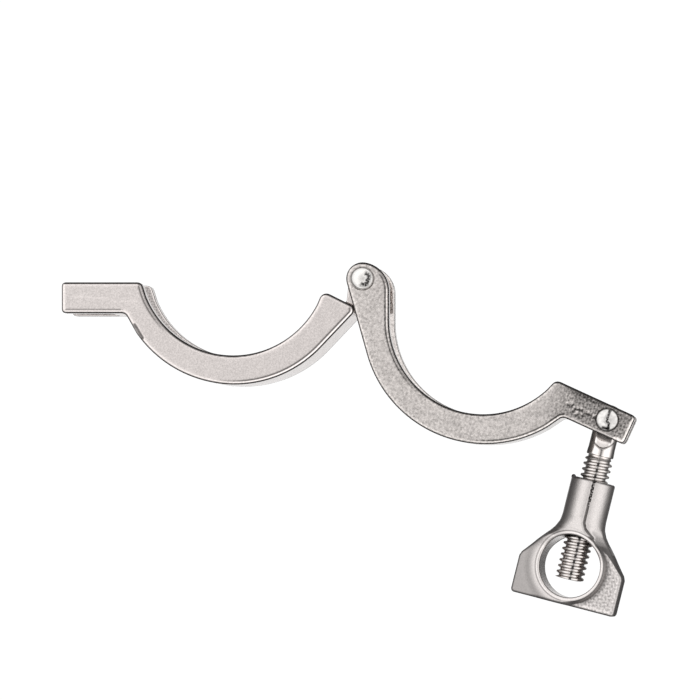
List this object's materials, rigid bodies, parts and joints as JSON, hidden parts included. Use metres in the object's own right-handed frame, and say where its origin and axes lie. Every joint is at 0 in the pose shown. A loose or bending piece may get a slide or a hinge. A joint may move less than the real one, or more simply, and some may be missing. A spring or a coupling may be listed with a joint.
{
  "type": "hinged pipe clamp",
  "caption": "Hinged stainless ring clamp that draws flanged pipe ferrules together with a swing bolt and wing nut, laid fully open.",
  "frame": {"origin": "centre of the open clamp's bounding box in X and Y, at the height of the lowest point, which is the rivet heads the clamp lies on", "axes": "+Z along the ring axis, which is also the axis of both rivets; +X from the tongue jaw's closing lug towards the fork jaw's bolt lug; +Y away from the wing nut"},
  "size_m": [0.1744, 0.1086, 0.0212],
  "materials": {
    "cast_steel_fork": "sand cast stainless steel with a fine open grain, tumbled edges",
    "cast_steel_tongue": "bead blasted cast stainless steel, satin",
    "rivet_steel": "polished domed rivet heads",
    "bolt_steel": "bright cast thread with parting lines",
    "wing_nut_steel": "satin tumbled casting"
  },
  "bodies": {
    "fork_jaw": {"fork_jaw": "cast_steel_fork", "hinge_pin": "rivet_steel", "bolt_pin": "rivet_steel"},
    "tongue_jaw": {"tongue_jaw": "cast_steel_tongue"},
    "eye_bolt": {"eye_bolt": "bolt_steel"},
    "wing_nut": {"wing_nut": "wing_nut_steel"}
  },
  "joints": [
    {"name": "jaw_hinge", "type": "hinge", "parent": "fork_jaw", "child": "tongue_jaw", "pos_m": [0.00435, 0.04926, 0.0106], "axis": [0, 0, -1], "range_deg": [0, 207]},
    {"name": "bolt_swing", "type": "hinge", "parent": "fork_jaw", "child": "eye_bolt", "pos_m": [0.07888, 0.00629, 0.0106], "axis": [0, 0, 1], "range_deg": [-25, 182.9]},
    {"name": "nut_travel", "type": "slide", "parent": "eye_bolt", "child": "wing_nut", "axis": [-0.2411, -0.9705, 0], "range_m": [-0.0009, 0.0216]}
  ]
}
